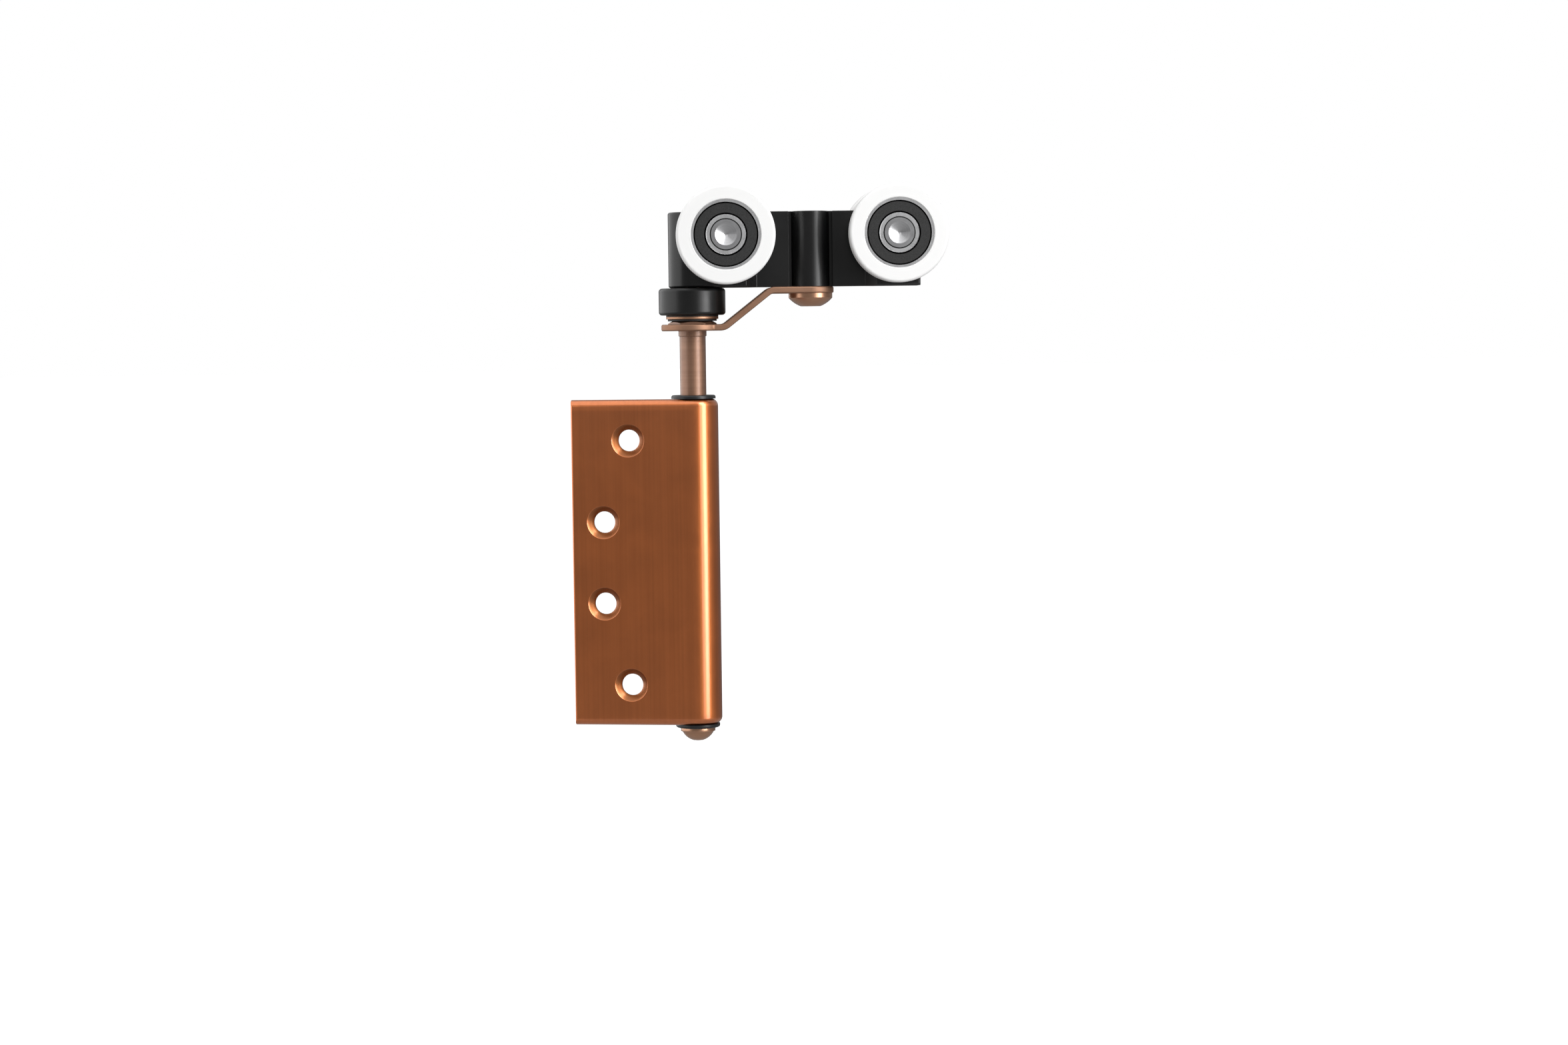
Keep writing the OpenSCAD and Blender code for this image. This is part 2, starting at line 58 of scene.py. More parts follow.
# ---------------------------------------------------------------- camera
# A long lens about a metre away, level with the guide roller, looking a little down and to the right.
# The carriage is seen from the front, with its front wheels overlapping the black body.

scene = bpy.context.scene
scene.view_settings.view_transform = "Standard"

lens = bpy.data.cameras.new("camera")
lens.lens = 74.75
lens.sensor_width = 36.0
lens.clip_end = 50.0
camera = bpy.data.objects.new("camera", lens)
scene.collection.objects.link(camera)
camera_place = Vector((-0.0225, -0.9983, -0.0087))
pan, tilt, lean = radians(2.855), radians(-3.400), radians(-0.736)
camera.matrix_world = (Matrix.Translation(camera_place)
                       @ Matrix.Rotation(-pan, 4, "Z")
                       @ Matrix.Rotation(pi / 2 + tilt, 4, "X")
                       @ Matrix.Rotation(lean, 4, "Z"))
scene.camera = camera


# ---------------------------------------------------------------- studio
# A dim pale room: a tall softbox at the front right draws the long highlights, with a weaker one beside
# it that softens their left side. A broad one fills the left, and one overhead lights the upper edges.

room_middle = Vector((0.015, 0.0, -0.055))


def softbox(name, bearing, rise, distance, width, length, watts):
    """A rectangular lamp turned to the middle of the room.

    Bearing 0 is the camera's side and 90 is right, and rise is the lamp's height in degrees."""
    lamp = bpy.data.lights.new(name, "AREA")
    lamp.shape = "RECTANGLE"
    lamp.size = width
    lamp.size_y = length
    lamp.energy = watts
    box = bpy.data.objects.new(name, lamp)
    scene.collection.objects.link(box)
    turn, lift = radians(bearing), radians(rise)
    way = Vector((sin(turn) * cos(lift), -cos(turn) * cos(lift), sin(lift)))
    box.location = room_middle + distance * way
    box.rotation_euler = (room_middle - box.location).to_track_quat("-Z", "Y").to_euler()
    box.visible_camera = False


softbox("right_softbox", bearing=48.5, rise=22, distance=1.2, width=0.40, length=1.5, watts=12.5)
softbox("right_fill", bearing=33, rise=22, distance=1.2, width=0.34, length=1.5, watts=3.5)
softbox("left_softbox", bearing=-102, rise=10, distance=1.0, width=2.2, length=1.5, watts=12.8)
softbox("top_softbox", bearing=5, rise=80, distance=1.1, width=2.0, length=1.6, watts=9.5)

# The room looks white to the camera, and the light that it gives the part is dimmer
room_level = 0.36
white_level = 1.0
world = bpy.data.worlds.new("pale_room")
scene.world = world
world.use_nodes = True
room = world.node_tree
room.nodes.clear()
seen = room.nodes.new("ShaderNodeLightPath")
pick = room.nodes.new("ShaderNodeMixShader")
room_out = room.nodes.new("ShaderNodeOutputWorld")
for socket, level in ((pick.inputs[1], room_level), (pick.inputs[2], white_level)):
    light = room.nodes.new("ShaderNodeBackground")
    light.inputs["Color"].default_value = (1.0, 1.0, 1.0, 1.0)
    light.inputs["Strength"].default_value = level
    room.links.new(light.outputs["Background"], socket)
room.links.new(seen.outputs["Is Camera Ray"], pick.inputs["Fac"])
room.links.new(pick.outputs["Shader"], room_out.inputs["Surface"])

# The floor lies well below, because the part hangs. To the camera it glows almost white by itself,
# so it meets the room without a line and still takes the part's shadow.
floor_drop = 0.24
floor_reach = 30.0
floor_grey = 0.3
floor_roughness = 0.9
floor_glow = 0.95
floor_z = cad_box[0][2] - floor_drop
floor_corners = [(x * floor_reach, y * floor_reach, floor_z)
                 for x, y in ((-1, -1), (1, -1), (1, 1), (-1, 1))]
floor_mesh = bpy.data.meshes.new("floor")
floor_mesh.from_pydata(floor_corners, [], [(0, 1, 2, 3)])
floor = bpy.data.objects.new("floor", floor_mesh)
scene.collection.objects.link(floor)


def worked_out(tree, kind, first, second=0.0):
    """A value worked out by the named kind of arithmetic; second may be a plain number."""
    node = tree.nodes.new("ShaderNodeMath")
    node.operation = kind
    tree.links.new(first, node.inputs[0])
    if isinstance(second, float):
        node.inputs[1].default_value = second
    else:
        tree.links.new(second, node.inputs[1])
    return node.outputs["Value"]


pale = bpy.data.materials.new("pale_floor")
pale.use_nodes = True
pale_tree = pale.node_tree
pale_surface = pale_tree.nodes["Principled BSDF"]
pale_surface.inputs["Base Color"].default_value = (floor_grey, floor_grey, floor_grey, 1.0)
pale_surface.inputs["Roughness"].default_value = floor_roughness
pale_surface.inputs["Emission Color"].default_value = (1.0, 1.0, 1.0, 1.0)
floor_seen = pale_tree.nodes.new("ShaderNodeLightPath")
glow = worked_out(pale_tree, "MULTIPLY", floor_seen.outputs["Is Camera Ray"], floor_glow)
pale_tree.links.new(glow, pale_surface.inputs["Emission Strength"])
floor_mesh.materials.append(pale)


# ---------------------------------------------------------------- carriage body
# A length of drawn black aluminium profile, stood on end: two thick pads, a thinner web between them
# and a round boss in the middle. Its edges are eased, and a satin black coat covers drawing lines
# that run up and down.

body_ease = 0.00025


def eased_copy(node, name, ease, steps=2, angle=30.0):
    """A copy of a node with its loose triangles merged and its sharp edges broken by ease.

    An edge is sharp where its faces meet at more than angle degrees."""
    weld_reach = 1e-6
    flat_within = radians(0.3)
    merged = bmesh.new()
    merged.from_mesh(nodes[node].data)
    bmesh.ops.remove_doubles(merged, verts=merged.verts, dist=weld_reach)
    bmesh.ops.dissolve_limit(merged, angle_limit=flat_within, verts=merged.verts, edges=merged.edges)
    rough = bpy.data.meshes.new(name)
    merged.to_mesh(rough)
    merged.free()
    rough.shade_smooth()
    piece = bpy.data.objects.new(name, rough)
    scene.collection.objects.link(piece)
    bevel = piece.modifiers.new("eased_edges", "BEVEL")
    bevel.width = ease
    bevel.segments = steps
    bevel.limit_method = "ANGLE"
    bevel.angle_limit = radians(angle)
    weigh = piece.modifiers.new("flat_faces_stay_flat", "WEIGHTED_NORMAL")
    weigh.mode = "FACE_AREA"
    weigh.weight = 100
    evaluation = bpy.context.evaluated_depsgraph_get()
    finished = bpy.data.meshes.new_from_object(piece.evaluated_get(evaluation))
    piece.modifiers.clear()
    piece.data = finished
    finished.materials.clear()
    bpy.data.meshes.remove(rough)
    return piece


def seat(piece, material, body, node):
    """Gives a finished piece its material and its body, and hides the node that it stands for."""
    piece.data.materials.append(material)
    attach(piece, body)
    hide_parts(node)


def new_group(name, inputs, outputs):
    """A shader node group with the named sockets, and its input and output nodes."""
    group = bpy.data.node_groups.new(name, "ShaderNodeTree")
    for label, kind, value in inputs:
        socket = group.interface.new_socket(name=label, in_out="INPUT", socket_type=kind)
        socket.default_value = value
    for label, kind in outputs:
        group.interface.new_socket(name=label, in_out="OUTPUT", socket_type=kind)
    return group, group.nodes.new("NodeGroupInput"), group.nodes.new("NodeGroupOutput")


# Fine straight lines left by drawing, brushing or grinding: long one way and narrow the other two.
# Tone follows the broader lines, which are fewer by the broad share.
fine_lines, lines_in, lines_out = new_group(
    "fine_lines",
    [("Lines per Metre", "NodeSocketVector", (2000.0, 2000.0, 30.0)),
     ("Broad Share", "NodeSocketFloat", 0.08)],
    [("Height", "NodeSocketFloat"), ("Tone", "NodeSocketFloat")])
lines_place = fine_lines.nodes.new("ShaderNodeTexCoord")
lines_scale = fine_lines.nodes.new("ShaderNodeVectorMath")
lines_scale.operation = "MULTIPLY"
lines_broad = fine_lines.nodes.new("ShaderNodeVectorMath")
lines_broad.operation = "SCALE"
fine_noise = fine_lines.nodes.new("ShaderNodeTexNoise")
broad_noise = fine_lines.nodes.new("ShaderNodeTexNoise")
for noise, detail in ((fine_noise, 3.0), (broad_noise, 5.0)):
    noise.inputs["Scale"].default_value = 1.0
    noise.inputs["Detail"].default_value = detail
    noise.inputs["Roughness"].default_value = 0.6
for source, target in ((lines_place.outputs["Object"], lines_scale.inputs[0]),
                       (lines_in.outputs["Lines per Metre"], lines_scale.inputs[1]),
                       (lines_scale.outputs["Vector"], fine_noise.inputs["Vector"]),
                       (lines_scale.outputs["Vector"], lines_broad.inputs[0]),
                       (lines_in.outputs["Broad Share"], lines_broad.inputs["Scale"]),
                       (lines_broad.outputs["Vector"], broad_noise.inputs["Vector"]),
                       (fine_noise.outputs["Fac"], lines_out.inputs["Height"]),
                       (broad_noise.outputs["Fac"], lines_out.inputs["Tone"])):
    fine_lines.links.new(source, target)

# Faint clouds of handling and wiping, which change how sharply a finish shines
wiped, wiped_in, wiped_out = new_group(
    "wiped_clouds",
    [("Clouds per Metre", "NodeSocketFloat", 60.0),
     ("Least", "NodeSocketFloat", 0.3),
     ("Most", "NodeSocketFloat", 0.4)],
    [("Roughness", "NodeSocketFloat")])
wiped_place = wiped.nodes.new("ShaderNodeTexCoord")
wiped_noise = wiped.nodes.new("ShaderNodeTexNoise")
wiped_noise.inputs["Detail"].default_value = 6.0
wiped_noise.inputs["Roughness"].default_value = 0.62
wiped_noise.inputs["Distortion"].default_value = 0.6
wiped_range = wiped.nodes.new("ShaderNodeMapRange")
wiped_range.inputs["From Min"].default_value = 0.3
wiped_range.inputs["From Max"].default_value = 0.7
for source, target in ((wiped_place.outputs["Object"], wiped_noise.inputs["Vector"]),
                       (wiped_in.outputs["Clouds per Metre"], wiped_noise.inputs["Scale"]),
                       (wiped_noise.outputs["Fac"], wiped_range.inputs["Value"]),
                       (wiped_in.outputs["Least"], wiped_range.inputs["To Min"]),
                       (wiped_in.outputs["Most"], wiped_range.inputs["To Max"]),
                       (wiped_range.outputs["Result"], wiped_out.inputs["Roughness"])):
    wiped.links.new(source, target)


def place_group(tree, group, **values):
    """A group's node in a material, its inputs set by name with _ for a space."""
    node = tree.nodes.new("ShaderNodeGroup")
    node.node_tree = group
    for label, value in values.items():
        node.inputs[label.replace("_", " ")].default_value = value
    return node


def two_tone(tree, mask, dark, light, low=0.3, high=0.7):
    """A colour that goes from dark to light as mask goes from low to high."""
    ramp = tree.nodes.new("ShaderNodeValToRGB")
    for stop, place, colour in zip(ramp.color_ramp.elements, (low, high), (dark, light)):
        stop.position = place
        stop.color = (*colour, 1.0)
    tree.links.new(mask, ramp.inputs["Fac"])
    return ramp.outputs["Color"]


def new_finish(name, clouds, relief, metal, shader_values):
    """A material whose shine changes in clouds, with a bump of relief metres that waits for its height.

    clouds are (per metre, least, most roughness). Gives the material, its tree, its shader and the bump."""
    finish = bpy.data.materials.new(name)
    finish.use_nodes = True
    tree = finish.node_tree
    surface = tree.nodes["Principled BSDF"]
    cloud = place_group(tree, wiped, Clouds_per_Metre=clouds[0], Least=clouds[1], Most=clouds[2])
    tree.links.new(cloud.outputs["Roughness"], surface.inputs["Roughness"])
    bump = tree.nodes.new("ShaderNodeBump")
    bump.inputs["Strength"].default_value = 1.0
    bump.inputs["Distance"].default_value = relief
    tree.links.new(bump.outputs["Normal"], surface.inputs["Normal"])
    surface.inputs["Metallic"].default_value = metal
    for label, value in shader_values.items():
        surface.inputs[label.replace("_", " ")].default_value = value
    return finish, tree, surface, bump


def lined_finish(name, dark, light, lines, clouds, relief, metal=0.0, broad=0.08, **shader_values):
    """A finish with two tones and a relief of fine lines; lines are lines per metre along X, Y and Z."""
    finish, tree, surface, bump = new_finish(name, clouds, relief, metal, shader_values)
    grain = place_group(tree, fine_lines, Lines_per_Metre=lines, Broad_Share=broad)
    tree.links.new(two_tone(tree, grain.outputs["Tone"], dark, light), surface.inputs["Base Color"])
    tree.links.new(grain.outputs["Height"], bump.inputs["Height"])
    return finish


satin_black = lined_finish(
    "satin_black_profile", dark=(0.0025, 0.0025, 0.0027), light=(0.0050, 0.0050, 0.0052),
    lines=(1400.0, 1400.0, 14.0), clouds=(45.0, 0.26, 0.33), relief=3e-6)
seat(eased_copy("carriage_body", "black_profile", body_ease),
     satin_black, "carriage", "carriage_body")


# ---------------------------------------------------------------- axles and spacers
# Each axle is a bright steel pin right through the body and two wheels. Its ends are spread by a
# punch, which leaves a polished conical dimple and a low rim. A steel spacer sits inside each wheel.

wheelbase = 0.0524
boss_x = 0.0363
axle_z = sum(corner[2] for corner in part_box("axle_left")) / 2

# Rings that a lathe or grinding wheel leaves round either axle, and the distance from the axle.
# The two axles lie evenly either side of the boss, so folding there gives both the same rings.
round_lines, rings_in, rings_out = new_group(
    "round_lines",
    [("Rings per Metre", "NodeSocketFloat", 3000.0), ("Spread per Metre", "NodeSocketFloat", 200.0)],
    [("Height", "NodeSocketFloat"), ("Radius", "NodeSocketFloat")])
rings_place = round_lines.nodes.new("ShaderNodeTexCoord")
rings_split = round_lines.nodes.new("ShaderNodeSeparateXYZ")
round_lines.links.new(rings_place.outputs["Object"], rings_split.inputs["Vector"])
from_boss = worked_out(round_lines, "SUBTRACT", rings_split.outputs["X"], boss_x)
folded = worked_out(round_lines, "ABSOLUTE", from_boss)
across = round_lines.nodes.new("ShaderNodeCombineXYZ")
rings_radius = round_lines.nodes.new("ShaderNodeVectorMath")
rings_radius.operation = "LENGTH"
rings_join = round_lines.nodes.new("ShaderNodeCombineXYZ")
rings_noise = round_lines.nodes.new("ShaderNodeTexNoise")
rings_noise.inputs["Scale"].default_value = 1.0
rings_noise.inputs["Detail"].default_value = 3.0
outwards = worked_out(round_lines, "MULTIPLY", rings_radius.outputs["Value"],
                      rings_in.outputs["Rings per Metre"])
along = worked_out(round_lines, "MULTIPLY", rings_split.outputs["Y"],
                   rings_in.outputs["Spread per Metre"])
for source, target in ((worked_out(round_lines, "SUBTRACT", folded, wheelbase / 2), across.inputs["X"]),
                       (worked_out(round_lines, "SUBTRACT", rings_split.outputs["Z"], axle_z),
                        across.inputs["Z"]),
                       (across.outputs["Vector"], rings_radius.inputs[0]),
                       (outwards, rings_join.inputs["X"]),
                       (along, rings_join.inputs["Y"]),
                       (rings_join.outputs["Vector"], rings_noise.inputs["Vector"]),
                       (rings_noise.outputs["Fac"], rings_out.inputs["Height"]),
                       (rings_radius.outputs["Value"], rings_out.inputs["Radius"])):
    round_lines.links.new(source, target)


def rising(tree, value, low, high, kind="LINEAR"):
    """A value that goes from 0 to 1 as value goes from low to high."""
    step = tree.nodes.new("ShaderNodeMapRange")
    step.interpolation_type = kind
    step.inputs["From Min"].default_value = low
    step.inputs["From Max"].default_value = high
    tree.links.new(value, step.inputs["Value"])
    return step.outputs["Result"]


def clear_of(tree, distance, radius, width):
    """A value that is 1, and falls softly to 0 where distance is within width of radius."""
    middle_share = 0.4
    away = worked_out(tree, "ABSOLUTE", worked_out(tree, "SUBTRACT", distance, radius))
    return rising(tree, away, middle_share * width, width, "SMOOTHSTEP")


def painted_shade_ring(tree, distance, radius, width, tone, shade):
    """The colour tone, with painted shade that darkens it softly to shade where distance is within width of
    radius.
    """
    blend = tree.nodes.new("ShaderNodeMix")
    blend.data_type = "RGBA"
    blend.inputs["A"].default_value = (shade, shade, shade, 1.0)
    tree.links.new(clear_of(tree, distance, radius, width), blend.inputs["Factor"])
    tree.links.new(tone, blend.inputs["B"])
    return blend.outputs["Result"]


def turned_finish(name, dark, light, rings, clouds, relief, metal=0.0, spread=200.0, shade_rings=(),
                  **shader_values):
    """A finish with rings round the axles, in two tones and relief.

    Its dark rings, each (radius, width, shade), are painted shade in the crease where two parts meet."""
    finish, tree, surface, bump = new_finish(name, clouds, relief, metal, shader_values)
    ring = place_group(tree, round_lines, Rings_per_Metre=rings, Spread_per_Metre=spread)
    tone = two_tone(tree, ring.outputs["Height"], dark, light)
    for radius, width, shade in shade_rings:
        tone = painted_shade_ring(tree, ring.outputs["Radius"], radius, width, tone, shade)
    tree.links.new(tone, surface.inputs["Base Color"])
    tree.links.new(ring.outputs["Height"], bump.inputs["Height"])
    return finish


def paint_node(name, material):
    """Gives the node of this name one material."""
    mesh = nodes[name].data
    mesh.materials.clear()
    mesh.materials.append(material)


# A dark line of painted shade in the crease where the spread pin meets the inner ring's chamfer: radius,
# width and shade
pin_crease_shade = (0.0047, 0.00024, 0.02)
pin_steel = turned_finish(
    "punched_pin_steel", dark=(0.48, 0.48, 0.49), light=(0.58, 0.58, 0.59), rings=4200.0,
    clouds=(500.0, 0.27, 0.34), relief=1.0e-6, metal=1.0, shade_rings=(pin_crease_shade,))
for side in ("left", "right"):
    paint_node(f"axle_{side}", pin_steel)


def paint_wheels(piece, material):
    """Gives the node of this piece at each of the four wheels its material."""
    for corner in ("front_left", "front_right", "rear_left", "rear_right"):
        paint_node(f"{piece}_{corner}", material)


paint_wheels("spacer", turned_finish(
    "spacer_steel", dark=(0.38, 0.38, 0.39), light=(0.50, 0.50, 0.51), rings=2600.0,
    clouds=(300.0, 0.28, 0.40), relief=5e-6, metal=1.0, spread=2600.0))


# ---------------------------------------------------------------- ball bearings
# Standard deep-groove bearings: ground steel rings, seven polished balls in a nylon crown cage, and a
# black rubber seal on each side, moulded with a fine sandy face between two thin lips.

ring_steel = turned_finish(
    "ground_ring_steel", dark=(0.84, 0.84, 0.85), light=(0.94, 0.94, 0.95), rings=5200.0,
    clouds=(400.0, 0.24, 0.34), relief=1e-6, metal=1.0, shade_rings=(pin_crease_shade,))
paint_wheels("outer_ring", ring_steel)
paint_wheels("inner_ring", ring_steel)
paint_wheels("balls", turned_finish(
    "polished_ball_steel", dark=(0.60, 0.60, 0.61), light=(0.66, 0.66, 0.67), rings=900.0,
    clouds=(900.0, 0.05, 0.10), relief=2e-7, metal=1.0, spread=900.0))
paint_wheels("ball_cage", turned_finish(
    "cage_nylon", dark=(0.60, 0.53, 0.38), light=(0.70, 0.63, 0.47), rings=1200.0,
    clouds=(500.0, 0.42, 0.55), relief=3e-6, spread=1200.0))

sand_per_metre = 5200.0
lip_radii = (0.0063, 0.0096)
lip_gap = 0.00032
seal_rubber, seal_tree, seal_surface, seal_bump = new_finish(
    "sandy_seal_rubber", clouds=(420.0, 0.50, 0.64), relief=1.6e-5, metal=0.0, shader_values={})
seal_place = seal_tree.nodes.new("ShaderNodeTexCoord")
seal_sand = seal_tree.nodes.new("ShaderNodeTexNoise")
seal_sand.inputs["Scale"].default_value = sand_per_metre
seal_sand.inputs["Detail"].default_value = 4.0
seal_tree.links.new(seal_place.outputs["Object"], seal_sand.inputs["Vector"])
seal_tree.links.new(seal_sand.outputs["Fac"], seal_bump.inputs["Height"])
seal_tone = two_tone(seal_tree, seal_sand.outputs["Fac"], dark=(0.004, 0.004, 0.004),
                     light=(0.024, 0.024, 0.024), low=0.35)
seal_radius = place_group(seal_tree, round_lines).outputs["Radius"]
# Painted shade in the gaps at the seal's two lips: black and metallic there, so that nothing shines
for lip in lip_radii:
    seal_tone = painted_shade_ring(seal_tree, seal_radius, lip, lip_gap, seal_tone, shade=0.0)
clear_of_lips = worked_out(seal_tree, "MULTIPLY", clear_of(seal_tree, seal_radius, lip_radii[0], lip_gap),
                           clear_of(seal_tree, seal_radius, lip_radii[1], lip_gap))
seal_tree.links.new(seal_tone, seal_surface.inputs["Base Color"])
seal_tree.links.new(rising(seal_tree, clear_of_lips, 1.0, 0.0), seal_surface.inputs["Metallic"])
paint_wheels("seals", seal_rubber)


# ---------------------------------------------------------------- wheel tyres
# White acetal, moulded round each bearing with a thin lip over both faces of its outer ring. The tyres
# are smooth and slightly milky, with fine lines round the tread and both faces.

paint_wheels("tyre", turned_finish(
    "white_acetal", dark=(0.82, 0.82, 0.815), light=(0.86, 0.86, 0.855), rings=1500.0,
    clouds=(120.0, 0.30, 0.40), relief=3e-6, spread=1500.0))


# ---------------------------------------------------------------- pivot shaft and guide roller
# The shaft is turned from one steel bar, with a shoulder and a chamfered hexagon, and plated a pale
# brownish copper. The black nylon guide roller turns on it right under the carriage.

shaft_ease = 0.00015
shaft_copper = lined_finish(
    "turned_copper_plate", dark=(0.265, 0.138, 0.084), light=(0.335, 0.180, 0.113),
    lines=(160.0, 160.0, 5200.0), clouds=(90.0, 0.50, 0.60), relief=1.2e-6, metal=1.0, broad=0.12,
    Coat_Weight=1.0, Coat_Roughness=0.30)
seat(eased_copy("pivot_shaft", "turned_shaft", shaft_ease),
     shaft_copper, "carriage", "pivot_shaft")

paint_node("guide_roller", lined_finish(
    "black_nylon_roller", dark=(0.0025, 0.0025, 0.0025), light=(0.0050, 0.0050, 0.0050),
    lines=(900.0, 900.0, 2600.0), clouds=(160.0, 0.29, 0.36), relief=3e-6))


# ---------------------------------------------------------------- washers and bushes
# Two thin black friction washers with a copper-plated steel washer between them carry the roller, and
# two flanged black acetal bushes line the ends of the leaf's barrel.

washer_ease = 0.0001
washer_fibre = lined_finish(
    "black_friction_washer", dark=(0.008, 0.008, 0.008), light=(0.016, 0.016, 0.016),
    lines=(1800.0, 1800.0, 1800.0), clouds=(300.0, 0.46, 0.60), relief=6e-6)
bush_acetal = lined_finish(
    "black_acetal_bush", dark=(0.008, 0.009, 0.010), light=(0.015, 0.016, 0.017),
    lines=(700.0, 700.0, 2200.0), clouds=(260.0, 0.32, 0.42), relief=3e-6)
for level in ("upper", "lower"):
    washer = f"friction_washer_{level}"
    seat(eased_copy(washer, f"black_washer_{level}", washer_ease),
         washer_fibre, "carriage", washer)
    paint_node(f"bush_{level}", bush_acetal)

plate_copper = lined_finish(
    "copper_plate", dark=(0.42, 0.225, 0.135), light=(0.54, 0.30, 0.19),
    lines=(260.0, 1500.0, 1500.0), clouds=(110.0, 0.40, 0.52), relief=2.5e-6, metal=1.0, broad=0.10,
    Coat_Weight=0.2, Coat_Roughness=0.3)
seat(eased_copy("metal_washer", "copper_washer", washer_ease),
     plate_copper, "carriage", "metal_washer")


# ---------------------------------------------------------------- locking strap and its screw
# A strip bent from 2 mm sheet and plated copper. Its ring holds the shaft's hexagon, so the set height
# can't change, and a button-headed screw fixes it into the middle boss, which is threaded right through.

strap_ease = 0.0005
screw_ease = 0.0008
strap_copper = lined_finish(
    "dull_copper_strip", dark=(0.31, 0.172, 0.110), light=(0.40, 0.232, 0.155),
    lines=(260.0, 1500.0, 1500.0), clouds=(110.0, 0.48, 0.60), relief=2.5e-6, metal=1.0, broad=0.10)
seat(eased_copy("locking_strap", "bent_strap", strap_ease, steps=3),
     strap_copper, "carriage", "locking_strap")
screw_copper = lined_finish(
    "bright_copper_screw", dark=(0.46, 0.240, 0.145), light=(0.58, 0.320, 0.200),
    lines=(700.0, 700.0, 2400.0), clouds=(140.0, 0.26, 0.36), relief=2.0e-6, metal=1.0, broad=0.10,
    Coat_Weight=0.4, Coat_Roughness=0.2)
seat(eased_copy("strap_screw", "button_screw", screw_ease, steps=3, angle=18.0),
     screw_copper, "carriage", "strap_screw")

# The thread in the open bore above the screw: a ridge that winds up inside it, between the screw's
# tip and the top of the body
thread_pitch = 0.00125
thread_depth = 0.00055
bore_radius = 0.00402
above_screw = 0.0006
below_top = 0.0007
steps_per_turn = 48
thread_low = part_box("strap_screw")[1][2] + above_screw
thread_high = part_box("carriage_body")[1][2] - below_top

thread_tree = bpy.data.node_groups.new("bore_thread", "GeometryNodeTree")
thread_tree.interface.new_socket(name="Geometry", in_out="OUTPUT", socket_type="NodeSocketGeometry")
thread_sizes = (("Radius", "NodeSocketFloat", bore_radius),
                ("Depth", "NodeSocketFloat", thread_depth),
                ("Pitch", "NodeSocketFloat", thread_pitch),
                ("Length", "NodeSocketFloat", thread_high - thread_low),
                ("Place", "NodeSocketVector", (boss_x, 0.0, thread_low)),
                ("Material", "NodeSocketMaterial", satin_black))
thread_settings = []
for label, kind, value in thread_sizes:
    socket = thread_tree.interface.new_socket(name=label, in_out="INPUT", socket_type=kind)
    thread_settings.append((socket.identifier, value))
given = thread_tree.nodes.new("NodeGroupInput")
made = thread_tree.nodes.new("NodeGroupOutput")
helix = thread_tree.nodes.new("GeometryNodeCurveSpiral")
helix.inputs["Resolution"].default_value = steps_per_turn
ridge = thread_tree.nodes.new("GeometryNodeCurvePrimitiveCircle")
ridge.mode = "RADIUS"
ridge.inputs["Resolution"].default_value = 3
sweep = thread_tree.nodes.new("GeometryNodeCurveToMesh")
sweep.inputs["Fill Caps"].default_value = True
move = thread_tree.nodes.new("GeometryNodeTransform")
real = thread_tree.nodes.new("GeometryNodeRealizeInstances")
paint = thread_tree.nodes.new("GeometryNodeSetMaterial")
turns = worked_out(thread_tree, "DIVIDE", given.outputs["Length"], given.outputs["Pitch"])
for source, target in ((turns, helix.inputs["Rotations"]),
                       (given.outputs["Radius"], helix.inputs["Start Radius"]),
                       (given.outputs["Radius"], helix.inputs["End Radius"]),
                       (given.outputs["Length"], helix.inputs["Height"]),
                       (given.outputs["Depth"], ridge.inputs["Radius"]),
                       (helix.outputs["Curve"], sweep.inputs["Curve"]),
                       (ridge.outputs["Curve"], sweep.inputs["Profile Curve"]),
                       (sweep.outputs["Mesh"], move.inputs["Geometry"]),
                       (given.outputs["Place"], move.inputs["Translation"]),
                       (move.outputs["Geometry"], real.inputs["Geometry"]),
                       (real.outputs["Geometry"], paint.inputs["Geometry"]),
                       (given.outputs["Material"], paint.inputs["Material"]),
                       (paint.outputs["Geometry"], made.inputs["Geometry"])):
    thread_tree.links.new(source, target)

boss_thread = bpy.data.objects.new("boss_thread", bpy.data.meshes.new("boss_thread"))
scene.collection.objects.link(boss_thread)
winding = boss_thread.modifiers.new("thread", "NODES")
winding.node_group = thread_tree
for identifier, value in thread_settings:
    winding[identifier] = value
wound = boss_thread.evaluated_get(bpy.context.evaluated_depsgraph_get())
thread_mesh = bpy.data.meshes.new_from_object(wound)
boss_thread.modifiers.clear()
boss_thread.data = thread_mesh
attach(boss_thread, "carriage")


# ---------------------------------------------------------------- hinge leaf
# One 2.5 mm steel plate, rolled at its edge into a barrel round the two bushes, plated copper bronze,
# brushed up and down and lacquered. Four countersunk holes take the screws into the door.

leaf_ease = 0.00015
leaf_turn = radians(12.0)
leaf_face, leaf_back = 0.00752, 0.00502
leaf_reach = 0.037
leaf_low, leaf_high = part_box("hinge_leaf")[0][2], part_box("hinge_leaf")[1][2]
leaf_bronze = lined_finish(
    "brushed_bronze_plate", dark=(0.625, 0.174, 0.042), light=(0.715, 0.203, 0.053),
    lines=(2600.0, 2600.0, 26.0), clouds=(70.0, 0.31, 0.37), relief=1.5e-6, metal=1.0, broad=0.35,
    Coat_Weight=1.0, Coat_IOR=1.65, Coat_Roughness=0.14)

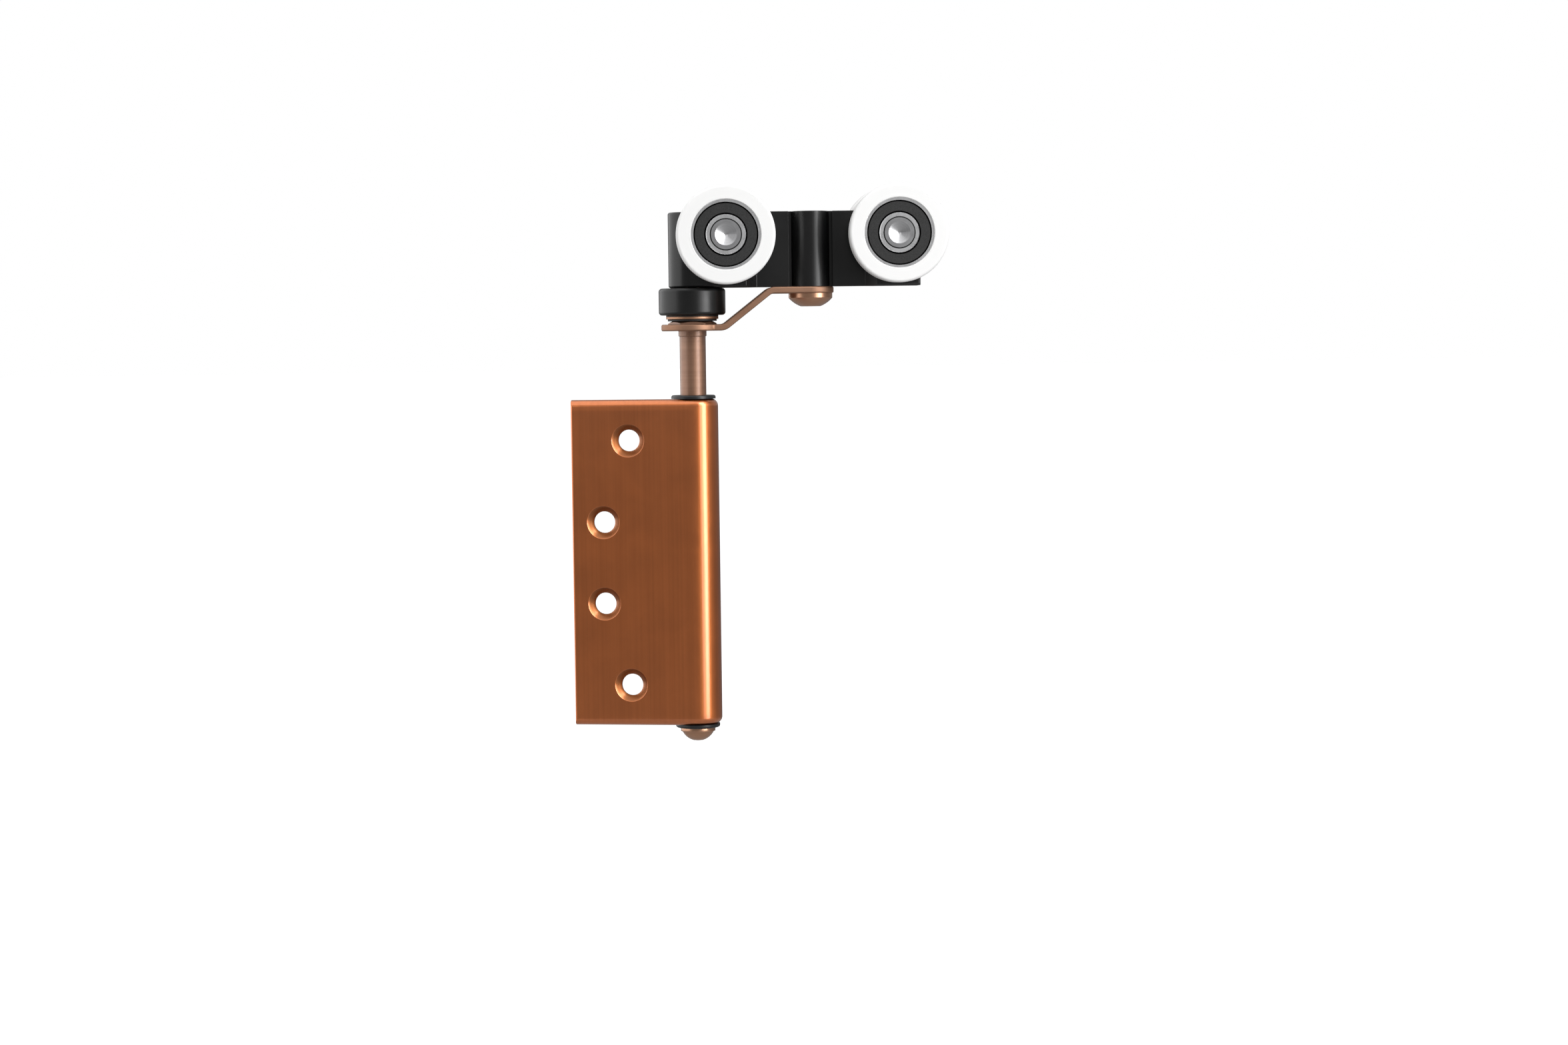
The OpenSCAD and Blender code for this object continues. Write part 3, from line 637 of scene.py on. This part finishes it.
# How far forward, how far out from the barrel's middle and how high a point lies, in the turned leaf
plate_place, plate_in, plate_out = new_group(
    "plate_place", [("Turn", "NodeSocketFloat", 0.0)],
    [("Towards Front", "NodeSocketFloat"), ("Reach", "NodeSocketFloat"), ("Height", "NodeSocketFloat")])
plate_object = plate_place.nodes.new("ShaderNodeTexCoord")
plate_turn = plate_place.nodes.new("ShaderNodeVectorRotate")
plate_turn.rotation_type = "Z_AXIS"
plate_split = plate_place.nodes.new("ShaderNodeSeparateXYZ")
for source, target in ((plate_object.outputs["Object"], plate_turn.inputs["Vector"]),
                       (plate_in.outputs["Turn"], plate_turn.inputs["Angle"]),
                       (plate_turn.outputs["Vector"], plate_split.inputs["Vector"]),
                       (plate_split.outputs["Z"], plate_out.inputs["Height"])):
    plate_place.links.new(source, target)
for axis, label in (("Y", "Towards Front"), ("X", "Reach")):
    flipped = worked_out(plate_place, "MULTIPLY", plate_split.outputs[axis], -1.0)
    plate_place.links.new(flipped, plate_out.inputs[label])

leaf_tree = leaf_bronze.node_tree
leaf_surface = leaf_tree.nodes["Principled BSDF"]
leaf_bump = leaf_surface.inputs["Normal"].links[0].from_node
leaf_grain = leaf_bump.inputs["Height"].links[0].from_socket
leaf_tone = leaf_surface.inputs["Base Color"].links[0].from_socket
on_leaf = place_group(leaf_tree, plate_place, Turn=leaf_turn)
forward = on_leaf.outputs["Towards Front"]
reach = on_leaf.outputs["Reach"]
height = on_leaf.outputs["Height"]

# The countersinks are cut after brushing, so inside them there are no lines, and their colour is darkened
# with painted shade. They lie between the plate's two faces, and well clear of its barrel, free edge and
# ends.
# The lacquer thins as in_hole rises to 1, and would be gone at lacquer_gone.
countersink_shade_colour = (0.36, 0.125, 0.042, 1.0)
lacquer_gone = 1.3
face_margin = (0.00006, 0.00012)
back_margin = (0.0001, 0.0002)
barrel_margin = (0.0095, 0.0100)
free_edge_margin = (0.0345, 0.0340)
end_margin = (0.004, 0.005)
in_hole = rising(leaf_tree, forward, leaf_face - face_margin[0], leaf_face - face_margin[1])
for value, low, high in ((forward, leaf_back + back_margin[0], leaf_back + back_margin[1]),
                         (reach, *barrel_margin),
                         (reach, *free_edge_margin),
                         (height, leaf_low + end_margin[0], leaf_low + end_margin[1]),
                         (height, leaf_high - end_margin[0], leaf_high - end_margin[1])):
    in_hole = worked_out(leaf_tree, "MULTIPLY", in_hole, rising(leaf_tree, value, low, high))
outside_holes = rising(leaf_tree, in_hole, 1.0, 0.0)
# Painted shade inside the countersinks, blended in by in_hole
countersink_shade = leaf_tree.nodes.new("ShaderNodeMix")
countersink_shade.data_type = "RGBA"
countersink_shade.inputs["B"].default_value = countersink_shade_colour
for source, target in ((worked_out(leaf_tree, "MULTIPLY", outside_holes, leaf_grain),
                        leaf_bump.inputs["Height"]),
                       (leaf_tone, countersink_shade.inputs["A"]),
                       (in_hole, countersink_shade.inputs["Factor"]),
                       (countersink_shade.outputs["Result"], leaf_surface.inputs["Base Color"]),
                       (rising(leaf_tree, in_hole, lacquer_gone, 0.0), leaf_surface.inputs["Coat Weight"])):
    leaf_tree.links.new(source, target)

# Polishing has worn the leaf's face down a little towards its rim, most along the top of the plate,
# and the top of the barrel is left as it was made
rim_width, rim_edge, rim_drop = 0.0036, 0.0003, 0.00027
barrel_fade = (-0.003, 0.001)
lesser_wear = 0.3
top_rim = worked_out(leaf_tree, "MULTIPLY", rising(leaf_tree, reach, *barrel_fade),
                     rising(leaf_tree, height, leaf_high - rim_width, leaf_high - rim_edge, "SMOOTHSTEP"))
low_rim = rising(leaf_tree, height, leaf_low + rim_width, leaf_low + rim_edge, "SMOOTHSTEP")
free_rim = rising(leaf_tree, reach, leaf_reach - rim_width, leaf_reach - rim_edge, "SMOOTHSTEP")
other_rims = worked_out(leaf_tree, "MULTIPLY", worked_out(leaf_tree, "ADD", low_rim, free_rim), lesser_wear)
worn_rim = leaf_tree.nodes.new("ShaderNodeBump")
worn_rim.invert = True
worn_rim.inputs["Strength"].default_value = 1.0
worn_rim.inputs["Distance"].default_value = rim_drop
leaf_tree.links.new(worked_out(leaf_tree, "ADD", top_rim, other_rims), worn_rim.inputs["Height"])
leaf_tree.links.new(worn_rim.outputs["Normal"], leaf_bump.inputs["Normal"])
seat(eased_copy("hinge_leaf", "rolled_leaf", leaf_ease),
     leaf_bronze, "leaf", "hinge_leaf")


# ---------------------------------------------------------------- dome screw
# A dome-headed screw with a collar closes the lower end of the shaft and holds the leaf up. It is
# turned from steel, and plated as bright as the strap's screw.

dome_ease = 0.0001
seat(eased_copy("dome_screw", "dome_cap_screw", dome_ease),
     screw_copper, "carriage", "dome_screw")
